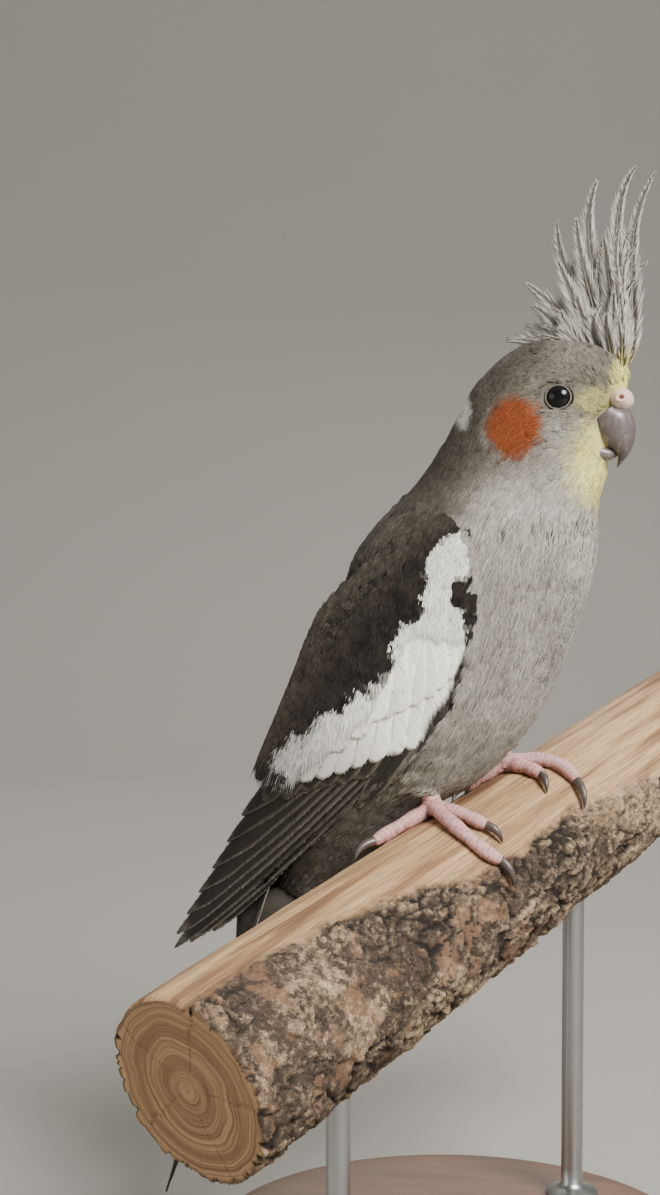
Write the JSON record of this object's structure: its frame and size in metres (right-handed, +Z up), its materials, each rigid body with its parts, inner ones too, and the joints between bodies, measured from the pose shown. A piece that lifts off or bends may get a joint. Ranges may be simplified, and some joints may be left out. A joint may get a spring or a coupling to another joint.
{
  "type": "cockatiel",
  "caption": "Life-size perched cockatiel with a raised crest and a barred tail, gripping a cut length of branch on a plain round display stand.",
  "frame": {"origin": "centre of the underside of the stand's round base", "axes": "+Z up; +X the way the bird's body and head face; +Y its left side"},
  "size_m": [0.1803, 0.2457, 0.3391],
  "materials": {
    "body_feather": "matt feather",
    "wing_feather": "matt feather",
    "tail_feather": "matt feather",
    "foot_skin": "scaly matt",
    "claw": "satin horn",
    "eye": "wet gloss",
    "cere_skin": "soft matt",
    "beak": "satin horn",
    "branch_wood": "bare wood with bark",
    "base_wood": "satin",
    "rod_steel": "satin"
  },
  "bodies": {
    "root": {"head": "body_feather", "neck": "body_feather", "torso": "body_feather", "tail": "tail_feather", "wing_left": "wing_feather", "wing_right": "wing_feather", "thigh_left": "body_feather", "thigh_right": "body_feather", "foot_left": "foot_skin", "foot_right": "foot_skin", "claw_left_1": "claw", "claw_left_2": "claw", "claw_left_3": "claw", "claw_left_4": "claw", "claw_right_1": "claw", "claw_right_2": "claw", "claw_right_3": "claw", "claw_right_4": "claw", "eye_left": "eye", "eye_right": "eye", "cere": "cere_skin", "beak_upper": "beak", "beak_lower": "beak", "perch": "branch_wood", "stand_base": "base_wood", "stand_rod_front": "rod_steel", "stand_rod_back": "rod_steel"}
  },
  "joints": []
}
